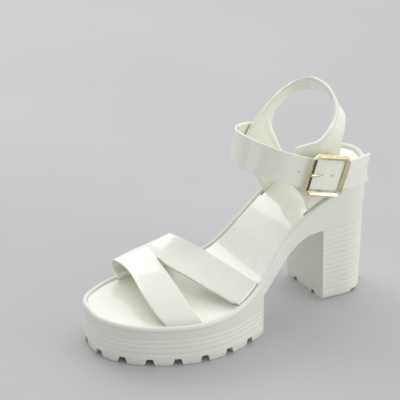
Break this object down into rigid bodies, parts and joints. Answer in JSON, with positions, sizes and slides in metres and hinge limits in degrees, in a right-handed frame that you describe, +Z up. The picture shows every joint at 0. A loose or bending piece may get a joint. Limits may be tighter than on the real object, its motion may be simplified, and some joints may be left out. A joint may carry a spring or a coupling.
{
  "type": "platform sandal",
  "caption": "Left platform sandal with a ribbed sole unit and block heel, a crossed-strap vamp, a slingback quarter and a buckled ankle strap.",
  "frame": {"origin": "on the platform's flat tread, halfway along the rim and 3.4 mm in front of the platform's rear face", "axes": "+Z up, -Y towards the toe and +Y towards the heel, +X towards the outer side of the foot"},
  "size_m": [0.0989, 0.2302, 0.1683],
  "materials": {
    "sole": "satin moulded",
    "insole": "patent gloss",
    "vamp": "patent gloss",
    "quarter": "patent gloss",
    "ankle_strap": "patent gloss",
    "buckle_tab": "patent gloss",
    "buckle_frame": "polished plating",
    "buckle_prong": "polished plating"
  },
  "bodies": {
    "root": {"sole_unit": "sole", "insole": "insole", "vamp": "vamp", "quarter": "quarter", "ankle_strap": "ankle_strap", "buckle_tab": "buckle_tab", "buckle_frame": "buckle_frame", "buckle_prong": "buckle_prong"}
  },
  "joints": []
}
